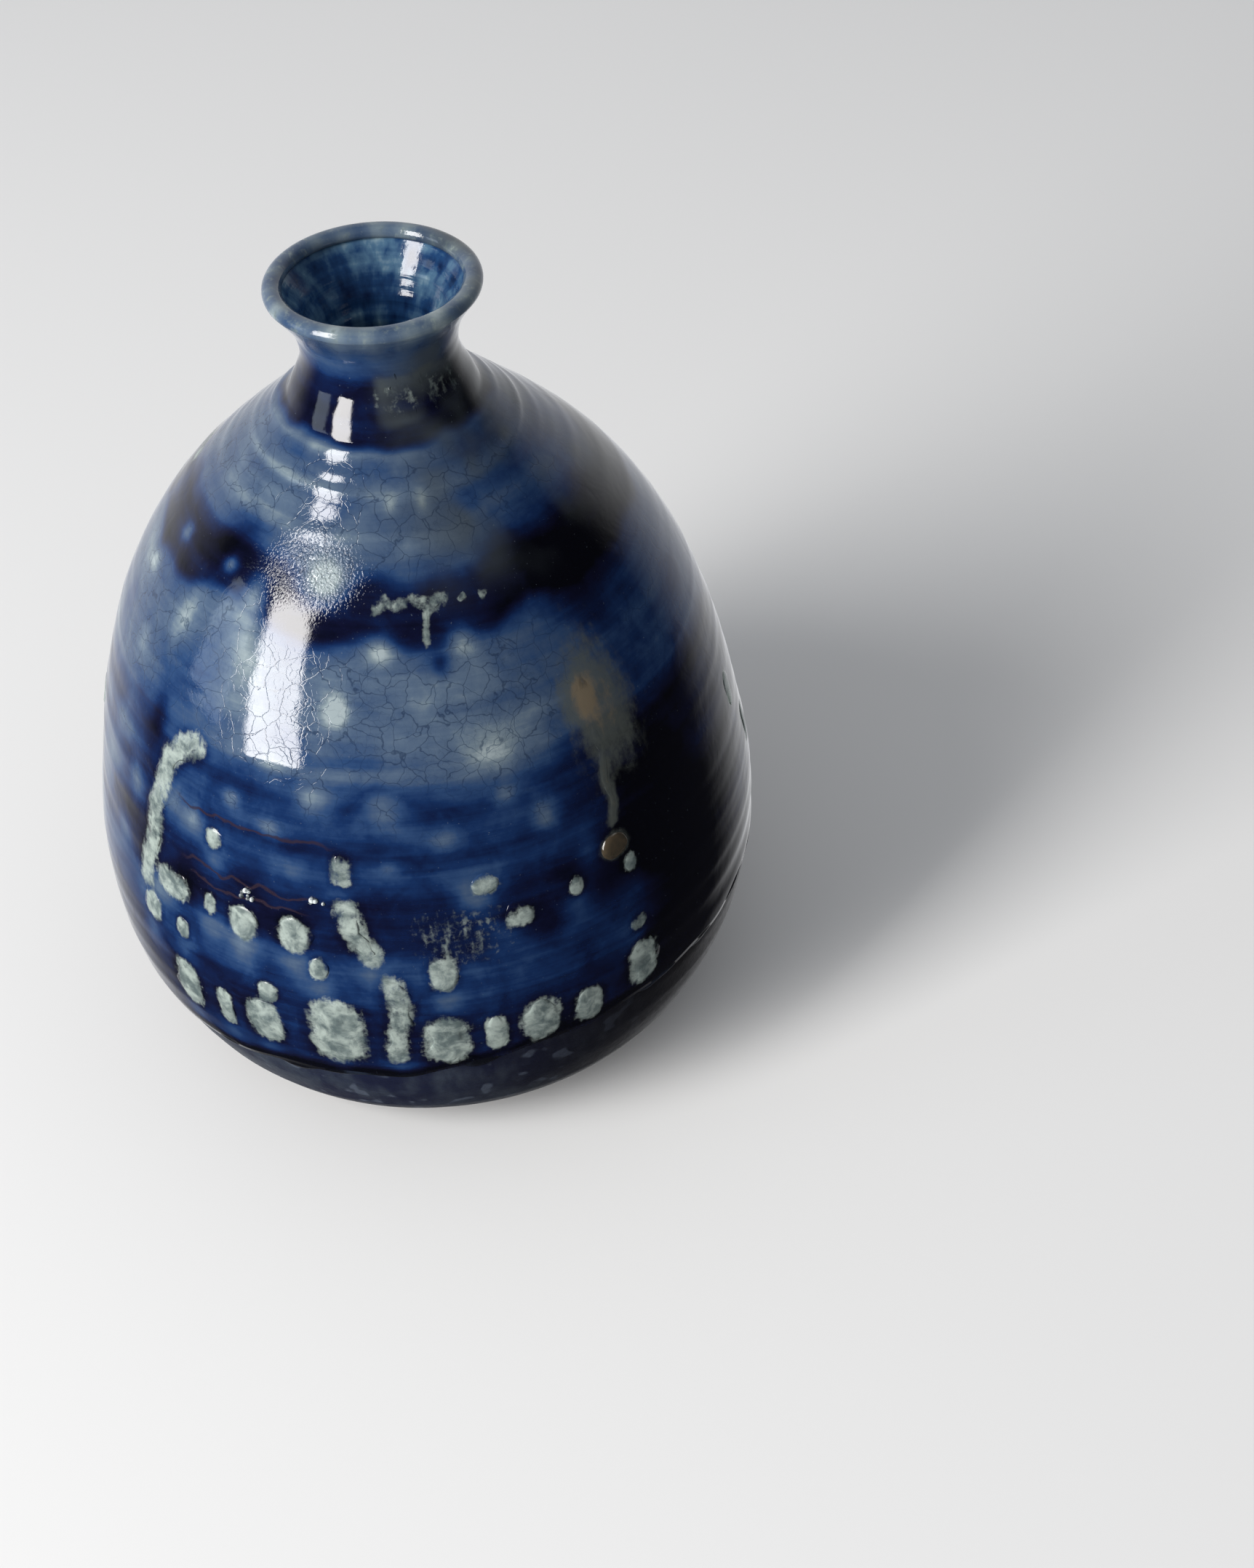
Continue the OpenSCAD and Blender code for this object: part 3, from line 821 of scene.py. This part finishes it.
def nearness(turn, height, path, half):
    """1 along the middle of a puddle, 0.5 at its edge, and 0 well outside."""
    nearest = np.full(len(turn), 1e3)
    for (turn_a, high_a), (turn_b, high_b) in zip(path, path[1:]):
        girth = float(outside((high_a + high_b) / 2.0))
        over = math.radians(turn_b - turn_a) * girth
        up = high_b - high_a
        long = math.hypot(over, up)
        x = np.radians(away(turn, turn_a)) * girth
        z = height - high_a
        inset = min(half * 0.9 / long, 0.45) if len(path) == 2 else 0.0
        part = np.clip((x * over + z * up) / long ** 2, inset, 1.0 - inset)
        nearest = np.minimum(nearest, np.hypot(x - part * over, z - part * up))
    return 1.0 - smooth(nearest / half, 0.35, 1.65)


def fire(piece):
    """Stores on the piece's points what the kiln did there."""
    turn, radius, height = places(piece)
    at = np.radians(turn)
    wave = 0.7 * np.sin(4.0 * at + 1.9) + 0.5 * np.sin(9.0 * at) + 0.35 * np.sin(17.0 * at + 2.0)
    sway = height + wave * np.where(height > 100.0, 0.35, 1.0)
    pool = np.interp(sway, [level for level, depth in DEPTHS], [depth for level, depth in DEPTHS])
    # The cobalt is made deeper and darker on the right, away from the window light: painted shade.
    right = smooth(np.abs(away(turn, 85.0)), 75.0, 40.0)
    pool = pool + 0.16 * right * (1.0 - smooth(height, 116.0, 122.0))
    left = smooth(np.abs(away(turn, -90.0)), 60.0, 38.0)
    pool = pool + 0.05 * left * smooth(height, 68.0, 74.0) * (1.0 - smooth(height, 88.0, 92.0))
    pool = pool + 0.40 * np.exp(-((height - dip_line(turn) - 0.8) / 1.3) ** 2)
    # Paler glaze along the throwing ridges on the left, where the window light falls: painted highlights on
    # the ridges.
    for level, rise, width in RIDGES:
        near = ((height - level) / width) ** 2 + (away(turn, -50.0) / 34.0) ** 2
        pool = pool - 0.60 * rise * np.exp(-near)
    pool = pool + 0.12 * smooth(height, 119.0, 124.0) * np.sin(13.0 * at + 0.6) * np.sin(5.0 * at + 1.0)
    for middle, level, wide, high, change in SPOTS:
        near = (away(turn, middle) / wide) ** 2 + ((height - level) / high) ** 2
        pool = pool + change * np.exp(-near)
    ash = np.zeros(len(turn))
    rust = np.zeros(len(turn))
    for kind, path, half, strength in marks:
        near = nearness(turn, height, path, half) * strength
        if kind == "iron":
            rust = np.maximum(rust, near)
            continue
        crown = max(spot[1] for spot in path) + (half if len(path) == 2 else 99.0)
        near = near * (1.0 - 0.50 * smooth(height, crown - 3.4, crown + 0.2))
        ash = np.maximum(ash, near)
        foot = min(path, key=lambda spot: spot[1])
        if foot[1] < 60.0:
            tail = (away(turn, foot[0]) / 3.0) ** 2 + ((height - foot[1] + 2.2) / 3.2) ** 2
            pool = pool - 0.26 * np.exp(-tail) + 0.50 * near * (1.0 - near)
    speckle = np.exp(-(away(turn, 2.0) / 9.0) ** 4 - ((height - 50.0) / 6.5) ** 4)
    ash = np.maximum(ash, np.maximum(0.36 * speckle, 0.34 * smooth(height, 124.0, 125.6)))
    veil = np.exp(-(away(turn, 36.0) / 8.5) ** 2 - ((height - 76.5) / 11.0) ** 2)
    core = np.exp(-(away(turn, 33.0) / 5.0) ** 2 - ((height - 78.5) / 5.0) ** 2)
    rust = np.maximum(rust, np.maximum(veil * 0.72, core * 1.05))
    fields = {"pool": pool, "ash": ash, "iron": rust}
    fields["craze"] = smooth(height, 55.0, 72.0) * (1.0 - smooth(height, 107.0, 109.0))
    stain = smooth(np.abs(away(turn, 27.0)), 38.0, 28.0) * smooth(np.abs(sway - 114.8), 4.4, 2.6)
    # The right shoulder is painted grey: painted reflection of the pale room behind.
    painted_sheen = smooth(np.abs(away(turn, 75.0)), 95.0, 40.0) * smooth(height, 92.0, 100.0)
    fields["grey"] = np.maximum(painted_sheen, stain * 1.3)
    fields["frost"] = np.exp(-(away(turn, -26.0) / 13.0) ** 2 - ((height - 97.2) / 2.6) ** 2)
    # Where the wash takes its shaded colour: painted shade on the right side.
    fields["side"] = smooth(np.abs(away(turn, 100.0)), 115.0, 55.0)
    for name, values in fields.items():
        layer = piece.data.attributes.new(name, "FLOAT", "POINT")
        layer.data.foreach_set("value", values.astype(np.float32))


for piece in (wash_skin, coat, ash_dabs, ash_runs, shoulder, iron, bead_piece):
    fire(piece)
